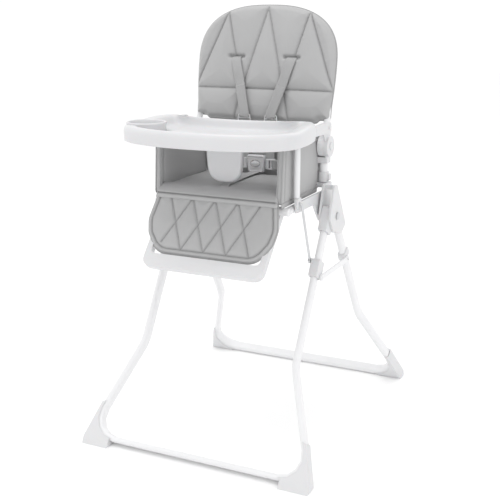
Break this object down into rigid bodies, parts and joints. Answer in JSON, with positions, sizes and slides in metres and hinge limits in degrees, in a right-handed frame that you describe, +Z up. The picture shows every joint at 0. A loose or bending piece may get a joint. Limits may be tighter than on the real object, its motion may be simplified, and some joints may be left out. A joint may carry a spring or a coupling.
{
  "type": "baby high chair",
  "caption": "Folding baby high chair with spread tube legs, padded seat, reclining backrest, tray with cup ring, crotch guard, footrest and harness.",
  "frame": {"origin": "floor level, midway between the left and right sides and between the front and rear feet", "axes": "+Z up, -Y the way the child faces, +X across the chair to the side without the cup holder"},
  "size_m": [0.608, 0.7537, 1.0387],
  "materials": {
    "painted_steel": "smooth white-grey powder coat",
    "bright_steel": "bare drawn steel",
    "white_plastic": "satin moulded plastic",
    "tray_plastic": "smooth moulded plastic, slightly glossy",
    "grey_leatherette": "padded synthetic leather with fine grain and stitched seams",
    "grey_webbing": "woven webbing",
    "seat_board": "plain board under the cushion"
  },
  "bodies": {
    "rear_frame": {"rear_leg_loop": "painted_steel", "rear_foot_cap_left": "white_plastic", "rear_foot_cap_right": "white_plastic", "hub_shell_left": "white_plastic", "hub_shell_right": "white_plastic", "hub_pivot_pin_left": "bright_steel", "hub_pivot_pin_right": "bright_steel", "upright_tube_left": "painted_steel", "upright_tube_right": "painted_steel", "recline_housing_left": "white_plastic", "recline_housing_right": "white_plastic", "brace_clip_left": "white_plastic", "brace_clip_right": "white_plastic", "lower_back_pad": "grey_leatherette", "waist_strap_left": "grey_webbing", "waist_strap_right": "grey_webbing", "buckle_tongue_left": "white_plastic", "buckle_tongue_right": "white_plastic"},
    "front_frame": {"front_leg_loop": "painted_steel", "front_foot_cap_left": "white_plastic", "front_foot_cap_right": "white_plastic", "front_leg_knuckle_left": "white_plastic", "front_leg_knuckle_right": "white_plastic"},
    "seat": {"seat_frame": "painted_steel", "seat_pan": "seat_board", "seat_pad": "grey_leatherette", "side_panel_left": "grey_leatherette", "side_panel_right": "grey_leatherette", "seat_bracket_left": "white_plastic", "seat_bracket_right": "white_plastic", "crotch_strap": "grey_webbing", "buckle_body": "white_plastic"},
    "sleeves": {"leg_sleeve_left": "white_plastic", "leg_sleeve_right": "white_plastic"},
    "braces": {"leg_brace_left": "painted_steel", "leg_brace_right": "painted_steel"},
    "rods": {"seat_rod_left": "bright_steel", "seat_rod_right": "bright_steel"},
    "backrest": {"backrest_frame": "painted_steel", "backrest_pad": "grey_leatherette", "recline_disc_left": "white_plastic", "recline_disc_right": "white_plastic", "shoulder_strap_left": "grey_webbing", "shoulder_strap_right": "grey_webbing", "strap_adjuster_left": "white_plastic", "strap_adjuster_right": "white_plastic"},
    "arms": {"armrest_left": "white_plastic", "armrest_right": "white_plastic", "arm_post_left": "painted_steel", "arm_post_right": "painted_steel"},
    "tray_body": {"tray": "tray_plastic", "crotch_guard": "tray_plastic"},
    "legrest": {"footrest_frame": "white_plastic", "calf_pad": "grey_leatherette"},
    "lock_collars": {"lock_collar_left": "white_plastic", "lock_collar_right": "white_plastic"},
    "recline_button_r": {"recline_button_right": "white_plastic"},
    "recline_button_l": {"recline_button_left": "white_plastic"},
    "harness_button": {"buckle_button": "white_plastic"}
  },
  "joints": [
    {"name": "fold", "type": "hinge", "parent": "rear_frame", "child": "front_frame", "pos_m": [0, -0.005, 0.543], "axis": [1, 0, 0], "range_deg": [0, 57]},
    {"name": "seat_fold", "type": "hinge", "parent": "rear_frame", "child": "seat", "pos_m": [0, -0.005, 0.543], "axis": [1, 0, 0], "range_deg": [0, 113.2]},
    {"name": "sleeve_slide", "type": "slide", "parent": "front_frame", "child": "sleeves", "axis": [0, -0.518, -0.8554], "range_m": [0, 0.181]},
    {"name": "brace_turn", "type": "hinge", "parent": "rear_frame", "child": "braces", "pos_m": [0, 0.09, 0.411], "axis": [1, 0, 0], "range_deg": [0, 104.1]},
    {"name": "rod_turn", "type": "hinge", "parent": "seat", "child": "rods", "pos_m": [0, -0.16, 0.6], "axis": [1, 0, 0], "range_deg": [-98.5, 0]},
    {"name": "recline", "type": "hinge", "parent": "rear_frame", "child": "backrest", "pos_m": [0, 0.011, 0.708], "axis": [-1, 0, 0], "range_deg": [0, 24]},
    {"name": "arm_swing", "type": "hinge", "parent": "rear_frame", "child": "arms", "pos_m": [0, -0.02, 0.757], "axis": [-1, 0, 0], "range_deg": [0, 90]},
    {"name": "tray_slide", "type": "slide", "parent": "arms", "child": "tray_body", "axis": [0, -1, 0], "range_m": [0, 0.04]},
    {"name": "footrest_swing", "type": "hinge", "parent": "seat", "child": "legrest", "pos_m": [0, -0.196, 0.585], "axis": [-1, 0, 0], "range_deg": [0, 45]},
    {"name": "collar_lift", "type": "slide", "parent": "rear_frame", "child": "lock_collars", "axis": [0, 0, 1], "range_m": [0, 0.018], "stiffness_N_per_m": 250},
    {"name": "recline_button_right_press", "type": "slide", "parent": "rear_frame", "child": "recline_button_r", "axis": [-1, 0, 0], "range_m": [0, 0.003], "stiffness_N_per_m": 600},
    {"name": "recline_button_left_press", "type": "slide", "parent": "rear_frame", "child": "recline_button_l", "axis": [1, 0, 0], "range_m": [0, 0.003], "stiffness_N_per_m": 600},
    {"name": "buckle_press", "type": "slide", "parent": "seat", "child": "harness_button", "axis": [0, 1, 0], "range_m": [0, 0.0025], "stiffness_N_per_m": 600}
  ],
  "couplings": [
    {"joint": "seat_fold", "follows": "fold", "ratio": 1.984},
    {"joint": "sleeve_slide", "follows": "fold", "m_per_rad": 0.18093},
    {"joint": "brace_turn", "follows": "fold", "ratio": 1.8246},
    {"joint": "rod_turn", "follows": "fold", "ratio": -1.7263},
    {"joint": "recline_button_left_press", "follows": "recline_button_right_press", "ratio": 1}
  ]
}
